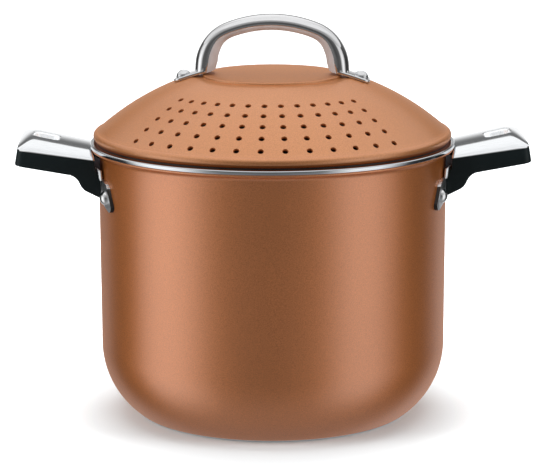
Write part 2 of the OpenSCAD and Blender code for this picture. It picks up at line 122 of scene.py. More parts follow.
def apply_modifier(piece, kind, **settings):
    only(piece)
    modifier = piece.modifiers.new(kind.title(), kind)
    for name, value in settings.items():
        setattr(modifier, name, value)
    bpy.ops.object.modifier_apply(modifier=modifier.name)


def round_edges(piece, width, segments, limit):
    """Rounds the edges that are sharper than a limit in degrees."""
    apply_modifier(piece, "BEVEL", width=width * MM, segments=segments, limit_method="ANGLE",
                   angle_limit=math.radians(limit))


def combine(piece, tool, operation="DIFFERENCE"):
    """Cuts a tool out of a piece, or unites them, and takes the tool away."""
    apply_modifier(piece, "BOOLEAN", operation=operation, solver="EXACT", object=tool)
    bpy.data.objects.remove(tool)


def bake_place(piece):
    only(piece)
    bpy.ops.object.transform_apply(location=True, rotation=True, scale=True)


def copy_of(piece):
    twin = piece.copy()
    twin.data = piece.data.copy()
    bpy.context.collection.objects.link(twin)
    return twin


def join(main, others):
    let_go()
    for piece in [main, *others]:
        piece.select_set(True)
    bpy.context.view_layer.objects.active = main
    bpy.ops.object.join()


def extrude(x, y, z):
    """Extrudes what is selected, in metres."""
    bpy.ops.mesh.extrude_region_move(TRANSFORM_OT_translate={"value": (x, y, z)})


def close_up():
    """Turns all faces outward and leaves edit mode."""
    bpy.ops.mesh.select_all(action="SELECT")
    bpy.ops.mesh.normals_make_consistent(inside=False)
    mode("OBJECT")


# %% The last step of every piece
def settle(piece, name, body, slot, *stands_for, angle=35):
    """Bakes the place into the mesh, smooths it and ties it to its CAD body."""
    bake_place(piece)
    bpy.ops.object.shade_smooth_by_angle(angle=math.radians(angle))
    piece.name = name
    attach(piece, body)
    if stands_for:
        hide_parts(*stands_for)
    print(name, len(piece.data.vertices), "vertices")
    return piece


# %% [markdown]
# ## The studio
# The photograph is a catalogue picture on a white sweep. Polished metal has no
# look of its own: it shows the studio. The upright bright bands on the pot are
# two tall soft lights at the sides, its dark middle is the unlit room behind
# the camera, and the white on the grip covers is a wide soft light overhead.
# Lamps could make these, but their edges would be hard to place. Painting the
# room into the world, by compass direction and height, gives each band its
# place, and it is the same for every piece.

# %% A short way to add nodes
def node(tree, kind, **values):
    """A shader node. A value is a setting of the node or the level of an input."""
    made = tree.nodes.new("ShaderNode" + kind)
    for name, value in values.items():
        if hasattr(made, name):
            setattr(made, name, value)
        else:
            made.inputs[name.replace("_", " ")].default_value = value
    return made


def wire(tree, *pairs):
    """Links outputs to inputs. A node stands for its first output."""
    for start, end in pairs:
        tree.links.new(getattr(start, "outputs", [start])[0], end)


def new_group(name, inputs, outputs):
    group = bpy.data.node_groups.new(name, "ShaderNodeTree")
    for label, kind, value in inputs:
        socket = group.interface.new_socket(label, in_out="INPUT", socket_type=kind)
        if value is not None:
            socket.default_value = value
    for label, kind in outputs:
        group.interface.new_socket(label, in_out="OUTPUT", socket_type=kind)
    return group, group.nodes.new("NodeGroupInput"), group.nodes.new("NodeGroupOutput")


FLOAT, VECTOR, COLOR = "NodeSocketFloat", "NodeSocketVector", "NodeSocketColor"


# %% One band of the room, by compass direction
def band(tree, direction, stops):
    """Brightness round the horizon: stops are (degrees from the camera, level)."""
    ramp = node(tree, "ValToRGB")
    ramp.color_ramp.interpolation = "LINEAR"
    points = ramp.color_ramp.elements
    while len(points) < len(stops):
        points.new(0.5)
    for point, (degrees, level) in zip(points, stops):
        point.position = 0.5 + degrees / 360
        point.color = (level, level, level, 1)
    wire(tree, (direction, ramp.inputs["Fac"]))
    return ramp.outputs["Color"]


# %% [markdown]
# The room is one node group: a direction goes in, and its brightness comes out.
# Four bands lie above each other, from the floor to the upper wall, and the
# ceiling is a soft white. The stops were set a few degrees at a time, until
# the stripes fell on the pot where the photograph has them.

# %% The direction, and how far round it is
room, room_in, room_out = new_group(
    "studio_room", [("Vector", VECTOR, None)], [("Color", COLOR)])
look = node(room, "VectorMath", operation="NORMALIZE")
part = node(room, "SeparateXYZ")
toward = node(room, "Math", operation="MULTIPLY")
toward.inputs[1].default_value = -1
compass = node(room, "Math", operation="ARCTAN2")
turns = node(room, "MapRange", From_Min=-math.pi, From_Max=math.pi)
wire(room,
     (room_in.outputs["Vector"], look.inputs[0]), (look, part.inputs[0]),
     (part.outputs["Y"], toward.inputs[0]), (part.outputs["X"], compass.inputs[0]),
     (toward, compass.inputs[1]), (compass, turns.inputs["Value"]))

# %% The four bands
floor_band = band(room, turns, [
    (-180, 0.80), (-148, 0.55), (-130, 0.01), (-106, 0.03), (-94, 0.85), (-84, 1.15),
    (-70, 1.15), (-58, 0.9), (-44, 0.34), (-34, 0.19), (0, 0.14), (30, 0.21), (42, 0.62),
    (50, 0.98), (70, 0.98), (84, 0.40), (94, 0.04), (118, 0.01), (134, 0.38), (146, 0.92),
    (180, 0.85)])
eye_band = band(room, turns, [
    (-180, 1.0), (-164, 1.0), (-150, 0.15), (-130, 0.04), (-106, 0.06), (-94, 0.9),
    (-84, 1.2), (-70, 1.2), (-58, 0.9), (-44, 0.32), (-36, 0.10), (0, 0.07), (30, 0.12),
    (42, 0.62), (50, 1.0), (70, 1.0), (84, 0.40), (94, 0.04), (132, 0.04), (150, 0.20),
    (164, 1.0), (180, 1.0)])
edge_band = band(room, turns, [
    (-180, 0.16), (-120, 0.06), (-94, 0.9), (-60, 0.9), (-44, 0.25), (0, 0.10), (30, 0.12),
    (46, 0.8), (78, 0.8), (92, 0.06), (180, 0.16)])
high_band = band(room, turns, [
    (-180, 1.05), (-166, 1.0), (-154, 0.62), (-140, 0.80), (-110, 0.86), (-80, 0.72),
    (-40, 0.38), (0, 0.32), (40, 0.38), (80, 0.72), (110, 0.86), (140, 0.76), (154, 0.78),
    (166, 1.0), (180, 1.05)])
print("bands at", len(room.nodes), "nodes so far")


# %% From the floor to the ceiling
def by_height(low, high, **more):
    """A mask that grows from one height of the direction to another."""
    mask = node(room, "MapRange", From_Min=low, From_Max=high, **more)
    wire(room, (part.outputs["Z"], mask.inputs["Value"]))
    return mask


def over(mask, lower, upper):
    """Mixes what is below with what is above, a color socket or a plain level."""
    mix = node(room, "Mix", data_type="RGBA")
    wire(room, (mask, mix.inputs[0]), (lower, mix.inputs[6]))
    if isinstance(upper, float):
        mix.inputs[7].default_value = (upper, upper, upper, 1)
    else:
        wire(room, (upper, mix.inputs[7]))
    return mix.outputs[2]


soft = {"interpolation_type": "SMOOTHSTEP"}
view = over(by_height(-0.20, -0.10, **soft), floor_band, eye_band)
view = over(by_height(0.02, 0.26, **soft), view, edge_band)
view = over(by_height(0.34, 0.36), view, high_band)
view = over(by_height(-0.45, -0.95, **soft), view, 0.30)
view = over(by_height(0.64, 0.88, **soft), view, 0.92)
wire(room, (view, room_out.inputs["Color"]))
print("studio room:", len(room.nodes), "nodes")

# %% [markdown]
# The camera sees plain white behind the pot, as on the printed page. Shiny
# pieces see the painted room instead, because a mirror in an all-white room
# would show no shape at all. Everything else gets an even soft light.

# %% The world
world = bpy.context.scene.world or bpy.data.worlds.new("studio")
bpy.context.scene.world = world
world.use_nodes = True
tree = world.node_tree
tree.nodes.clear()
direction = node(tree, "TexCoord")
painted = node(tree, "Group", node_tree=room)
path = node(tree, "LightPath")
shine = node(tree, "Mix", data_type="RGBA")
shine.inputs[6].default_value = (0.5, 0.5, 0.5, 1)
paper_seen = node(tree, "Math", operation="MAXIMUM")
backdrop = node(tree, "Mix", data_type="RGBA")
backdrop.inputs[7].default_value = (1, 1, 1, 1)
sky = node(tree, "Background", Strength=1.0)
out = node(tree, "OutputWorld")
wire(tree,
     (direction.outputs["Generated"], painted.inputs["Vector"]),
     (path.outputs["Is Glossy Ray"], shine.inputs[0]), (painted.outputs["Color"], shine.inputs[7]),
     (path.outputs["Is Camera Ray"], paper_seen.inputs[0]),
     (path.outputs["Is Transmission Ray"], paper_seen.inputs[1]),
     (paper_seen, backdrop.inputs[0]), (shine.outputs[2], backdrop.inputs[6]),
     (backdrop.outputs[2], sky.inputs["Color"]), (sky, out.inputs["Surface"]))
bpy.context.scene.view_settings.view_transform = "Standard"
print("world:", len(tree.nodes), "nodes")

# %% [markdown]
# The floor has to be paper white and still hold the soft shadow that makes the
# pot stand. Its paint is a plain pale diffuse. A little light of its own, for
# the camera only, lifts it to white away from the pot, and fades out under it.
# The fade is oval, as the shadow in the photograph, so it is partly a painted
# shadow: the floor round the pot is darker even where no light is blocked.

# %% The floor
floor = add("plane", size=30)
floor.name = "floor"
floor.visible_glossy = False
floor_finish = bpy.data.materials.new("white_sweep")
floor_finish.use_nodes = True
tree = floor_finish.node_tree
tree.nodes.clear()
paper = node(tree, "BsdfDiffuse", Color=(0.765, 0.80, 0.815, 1))
glow = node(tree, "Emission", Color=(1, 1, 1, 1))
path = node(tree, "LightPath")
lift = node(tree, "Math", operation="MULTIPLY")
spot = node(tree, "TexCoord")
oval = node(tree, "VectorMath", operation="MULTIPLY")
oval.inputs[1].default_value = (1.3, 0.85, 1.0)
span = node(tree, "VectorMath", operation="LENGTH")
# The fade paints part of the shadow round the pot.
fade = node(tree, "MapRange", interpolation_type="SMOOTHSTEP",
            From_Min=0.095, From_Max=0.24, To_Min=0.0, To_Max=0.80)
both = node(tree, "AddShader")
out = node(tree, "OutputMaterial")
wire(tree,
     (spot.outputs["Object"], oval.inputs[0]), (oval, span.inputs[0]),
     (span.outputs["Value"], fade.inputs["Value"]),
     (path.outputs["Is Camera Ray"], lift.inputs[0]), (fade, lift.inputs[1]),
     (lift, glow.inputs["Strength"]),
     (paper, both.inputs[0]), (glow, both.inputs[1]),
     (both, out.inputs["Surface"]))
floor.data.materials.append(floor_finish)
print("floor finish:", len(tree.nodes), "nodes")


# %% [markdown]
# The painted room mostly gives reflections. Light that falls on the pot comes
# from a wide soft lamp at each side and one overhead. Reflections don't show
# them, because the room already does.

# %% The soft lights
def soft_light(name, place, aim_at, width, height, power):
    bpy.ops.object.light_add(type="AREA", location=place)
    lamp = bpy.context.object
    lamp.name = name
    lamp.data.shape = "RECTANGLE"
    lamp.data.size, lamp.data.size_y = width, height
    lamp.data.energy = power
    lamp.visible_glossy = False
    aim = Vector(aim_at) - Vector(place)
    lamp.rotation_euler = aim.to_track_quat("-Z", "Y").to_euler()
    return lamp


let_go()
soft_light("side_light_left", (-1.45, -0.70, 0.75), (0, 0, 0.10), 0.7, 1.2, 22)
soft_light("side_light_right", (1.45, -0.75, 0.75), (0, 0, 0.10), 0.7, 1.2, 20)
soft_light("overhead_light", (0, 0.25, 1.6), (0, 0, 0.1), 1.6, 1.2, 26)
print("lights and floor are in")

# %% [markdown]
# ## Effects that several finishes share
# Paint, steel and plastic all have a fine grain that breaks up the gloss. It
# is made once as a node group: noise at a chosen size gives a roughness that
# changes a little from place to place, and a height for the bump.

# %% The shared grain group
def roughness_from(group, group_in, group_out, noise):
    """Spreads a noise between the two roughness values that a group takes."""
    spread = node(group, "MapRange", From_Min=0.35, From_Max=0.65)
    wire(group, (noise, spread.inputs["Value"]),
         (group_in.outputs["Rough Low"], spread.inputs["To Min"]),
         (group_in.outputs["Rough High"], spread.inputs["To Max"]),
         (spread, group_out.inputs["Roughness"]))
    print(group.name, "has", len(group.nodes), "nodes")


grain, g_in, g_out = new_group(
    "fine_grain",
    [("Vector", VECTOR, None), ("Size", FLOAT, 900.0), ("Rough Low", FLOAT, 0.3),
     ("Rough High", FLOAT, 0.4), ("Cloud Size", FLOAT, 14.0)],
    [("Roughness", FLOAT), ("Height", FLOAT), ("Cloud", FLOAT)])
specks = node(grain, "TexNoise", Detail=3.0, Roughness=0.6)
clouds = node(grain, "TexNoise", Detail=2.0, Roughness=0.5)
half = node(grain, "Math", operation="ADD")
share = node(grain, "Math", operation="MULTIPLY")
share.inputs[1].default_value = 0.5
wire(grain,
     (g_in.outputs["Vector"], specks.inputs["Vector"]),
     (g_in.outputs["Size"], specks.inputs["Scale"]),
     (g_in.outputs["Vector"], clouds.inputs["Vector"]),
     (g_in.outputs["Cloud Size"], clouds.inputs["Scale"]),
     (specks.outputs["Fac"], half.inputs[0]), (clouds.outputs["Fac"], half.inputs[1]),
     (half, share.inputs[0]), (specks.outputs["Fac"], g_out.inputs["Height"]),
     (clouds.outputs["Fac"], g_out.inputs["Cloud"]))
roughness_from(grain, g_in, g_out, share.outputs[0])

# %% [markdown]
# Brushed steel has fine lines that run one way. The same noise gives them when
# its space is squeezed: long steps along the brushing, short ones across.

# %% The shared brushing group
brushing, b_in, b_out = new_group(
    "brushed_lines",
    [("Vector", VECTOR, None), ("Squeeze", VECTOR, (20.0, 900.0, 900.0)),
     ("Rough Low", FLOAT, 0.2), ("Rough High", FLOAT, 0.35)],
    [("Roughness", FLOAT), ("Height", FLOAT)])
stretch = node(brushing, "VectorMath", operation="MULTIPLY")
lines = node(brushing, "TexNoise", Scale=1.0, Detail=4.0, Roughness=0.65)
wire(brushing,
     (b_in.outputs["Vector"], stretch.inputs[0]), (b_in.outputs["Squeeze"], stretch.inputs[1]),
     (stretch, lines.inputs["Vector"]), (lines.outputs["Fac"], b_out.inputs["Height"]))
roughness_from(brushing, b_in, b_out, lines.outputs["Fac"])

# %% [markdown]
# Spun and pressed metal keeps fine rings round its axis. They are noise too,
# read along the distance from the axis, so a ring is the same all the way round.

# %% The shared turned rings group
rings, r_in, r_out = new_group(
    "turned_rings",
    [("Vector", VECTOR, None), ("Size", FLOAT, 1500.0), ("Rough Low", FLOAT, 0.25),
     ("Rough High", FLOAT, 0.4)],
    [("Roughness", FLOAT), ("Height", FLOAT)])
flat = node(rings, "VectorMath", operation="MULTIPLY")
flat.inputs[1].default_value = (1, 1, 0)
far = node(rings, "VectorMath", operation="LENGTH")
up = node(rings, "SeparateXYZ")
along = node(rings, "Math", operation="ADD")
tracks = node(rings, "TexNoise", noise_dimensions="1D", Detail=3.0, Roughness=0.6)
wire(rings,
     (r_in.outputs["Vector"], flat.inputs[0]), (flat, far.inputs[0]),
     (r_in.outputs["Vector"], up.inputs[0]), (far.outputs["Value"], along.inputs[0]),
     (up.outputs["Z"], along.inputs[1]), (along, tracks.inputs["W"]),
     (r_in.outputs["Size"], tracks.inputs["Scale"]),
     (tracks.outputs["Fac"], r_out.inputs["Height"]))
roughness_from(rings, r_in, r_out, tracks.outputs["Fac"])


# %% [markdown]
# ## The finishes
# Each finish is one material with its own shader, and the groups above feed
# it. A number that is the same all over a surface is set on the shader itself.

# %% A starting point for every finish
def start_finish(name, **shader_values):
    finish = bpy.data.materials.new(name)
    finish.use_nodes = True
    tree = finish.node_tree
    shader = tree.nodes["Principled BSDF"]
    for label, value in shader_values.items():
        shader.inputs[label.replace("_", " ")].default_value = value
    place = node(tree, "TexCoord")
    print("finish:", name)
    return finish, tree, shader, place.outputs["Object"]


def tint_between(tree, shader, mask, dark, light):
    ramp = node(tree, "ValToRGB")
    for point, position, color in zip(ramp.color_ramp.elements, (0.3, 0.7), (dark, light)):
        point.position, point.color = position, (*color, 1)
    wire(tree, (mask, ramp.inputs["Fac"]), (ramp.outputs["Color"], shader.inputs["Base Color"]))
    return ramp


def grow(tree, shader, place, group, mask, colors, relief, **values):
    """Gloss, bump and tint of a finish, all from one group."""
    made = node(tree, "Group", node_tree=group, **values)
    bump = node(tree, "Bump", Strength=relief[0], Distance=relief[1])
    wire(tree, (place, made.inputs["Vector"]),
         (made.outputs["Roughness"], shader.inputs["Roughness"]),
         (made.outputs["Height"], bump.inputs["Height"]),
         (bump.outputs["Normal"], shader.inputs["Normal"]))
    return tint_between(tree, shader, made.outputs[mask], *colors)


def simple_finish(name, group, mask, colors, relief, values, **shader_values):
    """A finish that needs nothing but one group."""
    finish, tree, shader, place = start_finish(name, **shader_values)
    grow(tree, shader, place, group, mask, colors, relief, **values)
    return finish


# %% [markdown]
# The pot wears a copper-coloured metallic paint under a clear coat. Its flakes
# give the fine speckle, so the tint changes at the size of a flake. The coat
# gives the broad pale bands. At a grazing angle a real coat would turn white,
# and the photograph stays copper there, so Layer Weight thins it at the edges.
# On the lid the tint is also darkened below the roll, a painted shade
# for the gap under its edge.

# %% Copper paint
def painted_gap_shade(tree, shader, place, tint, coated, bottom, top):
    """Paints shade: darkens the paint below one height and takes its coat away."""
    part = node(tree, "SeparateXYZ")
    depth = node(tree, "MapRange", interpolation_type="SMOOTHSTEP",
                 From_Min=top, From_Max=bottom)
    shade = node(tree, "Mix", data_type="RGBA")
    # The brown of the painted shade.
    shade.inputs[7].default_value = (0.20, 0.045, 0.010, 1)
    bare = node(tree, "Math", operation="SUBTRACT", use_clamp=True)
    wire(tree, (place, part.inputs[0]), (part.outputs["Z"], depth.inputs["Value"]),
         (depth, shade.inputs[0]), (tint.outputs["Color"], shade.inputs[6]),
         (shade.outputs[2], shader.inputs["Base Color"]), (coated, bare.inputs[0]),
         (depth, bare.inputs[1]), (bare, shader.inputs["Coat Weight"]))


def copper_paint(name, dark, light, low, high, coat, metal=0.9, painted_shade_band=None):
    finish, tree, shader, place = start_finish(
        name, Metallic=metal, Coat_Weight=coat, Coat_Roughness=0.27, Coat_IOR=2.2)
    tint = grow(tree, shader, place, grain, "Height", (dark, light), (0.22, 0.0002),
                Size=1700.0, Rough_Low=low, Rough_High=high, Cloud_Size=9.0)
    facing = node(tree, "LayerWeight", Blend=0.5)
    coated = node(tree, "MapRange", From_Min=0.45, From_Max=0.90,
                  To_Min=coat, To_Max=0.12 * coat)
    wire(tree, (facing.outputs["Facing"], coated.inputs["Value"]),
         (coated, shader.inputs["Coat Weight"]))
    if painted_shade_band:
        painted_gap_shade(tree, shader, place, tint, coated, *painted_shade_band)
    return finish


pot_paint = copper_paint("copper_paint_pot", (0.58, 0.172, 0.034), (0.82, 0.272, 0.064),
                         0.42, 0.52, 0.88)
lid_paint = copper_paint("copper_paint_lid", (0.55, 0.200, 0.052), (0.75, 0.296, 0.090),
                         0.44, 0.54, 0.70, painted_shade_band=(0.1632, 0.1658))
# The walls of the strainer holes: a dark, dull brown that paints their shade in.
hole_painted_shade = copper_paint("copper_holes_painted_shade", (0.26, 0.070, 0.016), (0.36, 0.100, 0.026),
                          0.50, 0.60, 0.0, metal=0.0)

# %% [markdown]
# Inside, the pot has a brown satin coating. The base, the rim and the inside of
# the lid are metal that was turned or pressed, so they share the fine rings.


# %% Pot inside and base
def turned_metal(name, dark, light, low, high):
    return simple_finish(name, rings, "Height", (dark, light), (0.10, 0.0001),
                         {"Size": 1400.0, "Rough_Low": low, "Rough_High": high}, Metallic=1.0)


inside_coating = simple_finish(
    "dark_coating", grain, "Height", ((0.17, 0.066, 0.026), (0.25, 0.10, 0.042)), (0.12, 0.0002),
    {"Size": 700.0, "Rough_Low": 0.32, "Rough_High": 0.46, "Cloud_Size": 20.0},
    Metallic=0.0, Coat_Weight=0.25, Coat_Roughness=0.25)
base_metal = turned_metal("turned_base", (0.52, 0.51, 0.50), (0.66, 0.65, 0.64), 0.30, 0.45)
lid_inside = turned_metal("lid_inside", (0.60, 0.59, 0.58), (0.72, 0.71, 0.70), 0.28, 0.40)
rim_metal = turned_metal("bright_rim", (0.70, 0.73, 0.76), (0.84, 0.87, 0.90), 0.08, 0.14)

# %% [markdown]
# The covers and the lid handle are polished and the yokes are satin. All three
# are steel brushed along their length, so one function makes them and only the
# squeeze of the lines and the gloss change. Cast and punched metal has no
# direction, so rivets and cut edges take the plain grain instead.


# %% Steels
def brushed_steel(name, squeeze, dark, light, low, high, bump):
    return simple_finish(name, brushing, "Height", (dark, light), (bump, 0.00008),
                         {"Squeeze": squeeze, "Rough_Low": low, "Rough_High": high}, Metallic=1.0)


cover_steel = brushed_steel("cover_steel", (40, 900, 900), (0.86, 0.88, 0.90),
                            (0.93, 0.95, 0.97), 0.05, 0.09, 0.02)
yoke_steel = brushed_steel("yoke_steel", (300, 300, 900), (0.82, 0.84, 0.86),
                           (0.92, 0.94, 0.96), 0.30, 0.40, 0.06)
handle_chrome = brushed_steel("handle_chrome", (80, 500, 80), (0.80, 0.80, 0.81),
                              (0.88, 0.88, 0.89), 0.07, 0.13, 0.03)


# %% Metal without a direction
def plain_metal(name, dark, light, low, high, metal=1.0):
    return simple_finish(
        name, grain, "Cloud", (dark, light), (0.05, 0.00005),
        {"Size": 1200.0, "Rough_Low": low, "Rough_High": high, "Cloud_Size": 90.0},
        Metallic=metal)


rivet_metal = plain_metal("rivet_metal", (0.78, 0.79, 0.80), (0.90, 0.91, 0.92), 0.07, 0.13)
# A near-black metal that paints shade into gaps and edges that the light misses.
painted_shade_edge = plain_metal("painted_shade_edge", (0.045, 0.040, 0.038), (0.085, 0.075, 0.070), 0.35, 0.50)
slot_steel = plain_metal("slot_steel", (0.90, 0.92, 0.94), (0.96, 0.98, 1.0), 0.25, 0.35, 0.4)
# The underside of the lid handle: darker and pinkish, a painted shade and a painted reflection of
# the copper lid below it.
arch_painted_shade_under = plain_metal("arch_painted_shade_underside", (0.46, 0.43, 0.43), (0.58, 0.55, 0.55),
                         0.34, 0.46, 0.35)

# %% [markdown]
# Grips and heels are moulded from a heat-proof plastic. It is nearly black on
# the grips and slate grey on the heels, with a low gloss and a fine texture
# from the mould.


# %% Moulded plastic
def moulded_plastic(name, dark, light, low, high, bump, shine):
    return simple_finish(
        name, grain, "Cloud", (dark, light), (bump, 0.0001),
        {"Size": 1100.0, "Rough_Low": low, "Rough_High": high, "Cloud_Size": 30.0},
        Metallic=0.0, Specular_IOR_Level=shine)


grip_plastic = moulded_plastic("grip_plastic", (0.0035, 0.0065, 0.0072),
                               (0.006, 0.010, 0.011), 0.30, 0.42, 0.10, 0.22)
heel_plastic = moulded_plastic("heel_plastic", (0.26, 0.27, 0.32), (0.34, 0.35, 0.41),
                               0.45, 0.60, 0.15, 0.3)


# %% [markdown]
# ## The pot
# The real can is deep drawn from one disc, so it is round everywhere and its
# wall is one even thickness. A lathe shape suits that: half of its section is
# drawn point by point with extrude, and spin carries it round the axis. The
# same two steps make the rim band and the lid.

# %% Drawing a section and turning it
def arc(center, radius, start, end, steps):
    """Points on an arc from one angle to another, in degrees and millimetres."""
    angles = [math.radians(start + (end - start) * i / steps) for i in range(steps + 1)]
    return [(center[0] + radius * math.cos(a), center[1] + radius * math.sin(a)) for a in angles]


def turn_on_lathe(name, section, steps=192, closed=False):
    """Draws a half section one point after another, then spins it round the axis."""
    piece = add("plane", size=0.001)
    piece.name = name
    mode("EDIT")
    bpy.ops.mesh.select_mode(type="VERT")
    bpy.ops.mesh.select_all(action="SELECT")
    bpy.ops.mesh.merge(type="CENTER")
    bpy.ops.transform.translate(value=(section[0][0] * MM, 0, section[0][1] * MM))
    for before, after in zip(section, section[1:] + (section[:1] if closed else [])):
        extrude((after[0] - before[0]) * MM, 0, (after[1] - before[1]) * MM)
    bpy.ops.mesh.select_all(action="SELECT")
    bpy.ops.mesh.spin(steps=steps, angle=math.tau, center=(0, 0, 0), axis=(0, 0, 1))
    bpy.ops.mesh.select_all(action="SELECT")
    bpy.ops.mesh.remove_doubles(threshold=0.000005)
    close_up()
    return piece


# %% Pot section, turned
# All points are (distance from the axis, height) in millimetres.
WALL_R, WALL_Z, WALL_RISE, LEAN = 101.9, 41.58, 113.32, 0.5
BORE_R, BORE_TOP, BORE_DROP, INNER_FLOOR = 100.2, 153.7, 111.12, 3.2
CORNER_X, CORNER_R, INNER_CORNER_R = 52.1, 49.8, 47.6
BOTTOM_X, BOTTOM_R, MEET = 76.65, 9.0, -53
outside = [(0, 0.5), (14, 0.5), (15, 0.7), (16, 0.5), (34, 0.5), (35, 0.7), (36, 0.5), (56, 0.5)]
outside += arc((57.0, -0.5), 1.0, 90, 45, 3)[1:] + arc((59.0, 1.0), 1.0, 225, 270, 3)
outside += arc((BOTTOM_X, BOTTOM_R), BOTTOM_R, -90, MEET, 8)
outside += arc((CORNER_X, WALL_Z), CORNER_R, MEET, 0, 24)[1:]
outside += [(WALL_R + LEAN * i / 12, WALL_Z + WALL_RISE * i / 12) for i in range(1, 13)]
outside += arc((105.6, 154.9), 3.2, 180, 90, 8)[1:]
lip = arc((106.1, 158.9), 0.8, -90, 90, 8) + [(103.2, 159.7)]
lip += arc((103.15, 159.3), 0.4, 90, 180, 3)
inside = [(102.75, 158.7), (BORE_R, BORE_TOP)]
inside += [(BORE_R - LEAN * i / 10, BORE_TOP - BORE_DROP * i / 10) for i in range(1, 11)]
inside += arc((CORNER_X, WALL_Z + 1), INNER_CORNER_R, 0, MEET, 20)[1:]
inside += arc((BOTTOM_X, 10.0), 6.8, MEET, -90, 6)[1:]
inside += [(r, INNER_FLOOR) for r in (60, 40, 20, 0)]
pot_can = turn_on_lathe("pot_can", outside + lip + inside)
print("pot section:", len(outside + lip + inside), "points")


# %% [markdown]
# One sheet of metal can carry several finishes: paint outside, a coating
# inside, turned metal below. A zone is found by where its faces look and lie.

# %% Zones of finish on one piece
def outward(face):
    """How much a face looks away from the axis."""
    away = Vector((face.center.x, face.center.y, 0))
    return face.normal.dot(away.normalized()) if away.length > 0 else 0


def give_zone(piece, finish, test=None):
    """Adds a finish, on the whole piece or on the faces that pass a test."""
    only(piece)
    piece.data.materials.append(finish)
    if test is None:
        return
    mode("EDIT")
    count = pick(piece, "polygons", test)
    piece.active_material_index = len(piece.data.materials) - 1
    bpy.ops.object.material_slot_assign()
    mode("OBJECT")
    print(finish.name, "on", count, "faces")


# %% Finish the pot
give_zone(pot_can, pot_paint)
give_zone(pot_can, inside_coating,
          lambda f: outward(f) < -0.05 or (f.normal.z > 0.5 and f.center.z < 0.1))
give_zone(pot_can, base_metal, lambda f: f.normal.z < -0.3 and f.center.z < 0.0012)
settle(pot_can, "pot_can", "pot", "copper_body", "pot_body")

# %% [markdown]
# ## The rim band
# A strip of stainless steel is rolled over the raw edge of the can. Its two
# upper edges are soft, because it is folded and not cut, and it stands a
# little outside the lip that it grips.

# %% Rim band, turned as a closed ring
ring = arc((105.2, 159.95), 0.25, 180, 270, 3) + arc((107.0, 159.95), 0.25, 270, 360, 3)
ring += arc((106.45, 161.2), 0.8, 0, 90, 8) + arc((105.75, 161.2), 0.8, 90, 180, 8)
rim = turn_on_lathe("rim", ring, closed=True)
give_zone(rim, rim_metal)
settle(rim, "rim", "pot", "rim_steel", "rim_band", angle=50)

# %% [markdown]
# ## The lid
# The lid is one pressed sheet: a flat disc on top, a small step down from it,
# the long dome, and a hollow roll at the edge, just above the rim. A flange
# below the roll centres it in the pot. Outside and inside are drawn as one
# line, so the sheet has its true thickness when the lid is lifted.

# %% Lid section, turned
DOME_R, DOME_Z, SHEET = 155.6, 51.70, 1.5
ROLL_X, ROLL_Z, ROLL_R, ROLL_HOLLOW = 102.75, 166, 2.5, 1.0
DOME_FROM, DOME_RUN, UNDER_FROM, UNDER_RUN = 47.3, 55.45, 101.75, 54.45


def dome_at(r, depth=0.0):
    """Height of the dome at a distance from the axis, or of a sphere below it."""
    return DOME_Z + math.sqrt((DOME_R - depth) ** 2 - r * r)


crown = [(r, 201.44) for r in (0, 12, 24, 34, 39.9)]
crown += [(40.3, 201.38), (40.6, 201.2), (40.75, 200.9), (40.85, 200.5), (41.0, 200.15),
          (41.4, 199.97), (43.0, 199.93), (45, 199.95)]
skin = [(r, dome_at(r)) for r in (DOME_FROM + DOME_RUN * i / 30 for i in range(31))]
roll = arc((ROLL_X, ROLL_Z), ROLL_R, 82, -48, 16)
roll += [(104.3, 163.2), (104.1, 162.95), (103.5, 162.8), (103.5, 161.9)]
roll += arc((104.2, 160.4), 0.4, 0, -90, 4)
flange = [(99.9, 160.0), (99.6, 159.7)] + arc((99.3, 152.3), 0.3, 0, -90, 3)
flange += arc((98.4, 152.3), 0.3, -90, -180, 3) + [(98.1, 161.5), (103.1, 161.5)]
under = arc((ROLL_X, ROLL_Z), ROLL_HOLLOW, -69, 90, 8)
under += [(r, dome_at(r, SHEET)) for r in (UNDER_FROM - UNDER_RUN * i / 18 for i in range(19))]
under += [(43.0, 198.43), (41.2, 198.8), (40.3, 199.6), (39.2, 199.94), (20, 199.94), (0, 199.94)]
lid_dome = turn_on_lathe("lid_dome", crown + skin + roll + flange + under)
print("lid section:", len(crown + skin + roll + flange + under), "points")

# %% [markdown]
# The strainer holes are punched: thirteen columns and five rows on the side
# that pours. One drill is modelled with a small flare, for the soft edge that
# paint leaves round a hole. It is copied to every place, and one boolean cuts
# them all.

# %% One drill with its flare
HOLE_R, DRILL_L, FLARE_L, FLARE = 1.7, 5.85, 0.65, 1.38
drill = add("cylinder", vertices=28, radius=HOLE_R * MM, depth=DRILL_L * MM,
            location=(0, 0, (DOME_R - 3.075) * MM))
bake_place(drill)
mode("EDIT")
pick(drill, "polygons", lambda f: f.normal.z > 0.9)
extrude(0, 0, FLARE_L * MM)
bpy.ops.transform.resize(value=(FLARE, FLARE, 1), center_override=(0, 0, DOME_R * MM))
mode("OBJECT")
print("drill:", len(drill.data.polygons), "faces")

# %% [markdown]
# The columns stand at even turns round the axis, the rows at even steps down
# the dome. The lid lies a few degrees turned, as in the photograph.

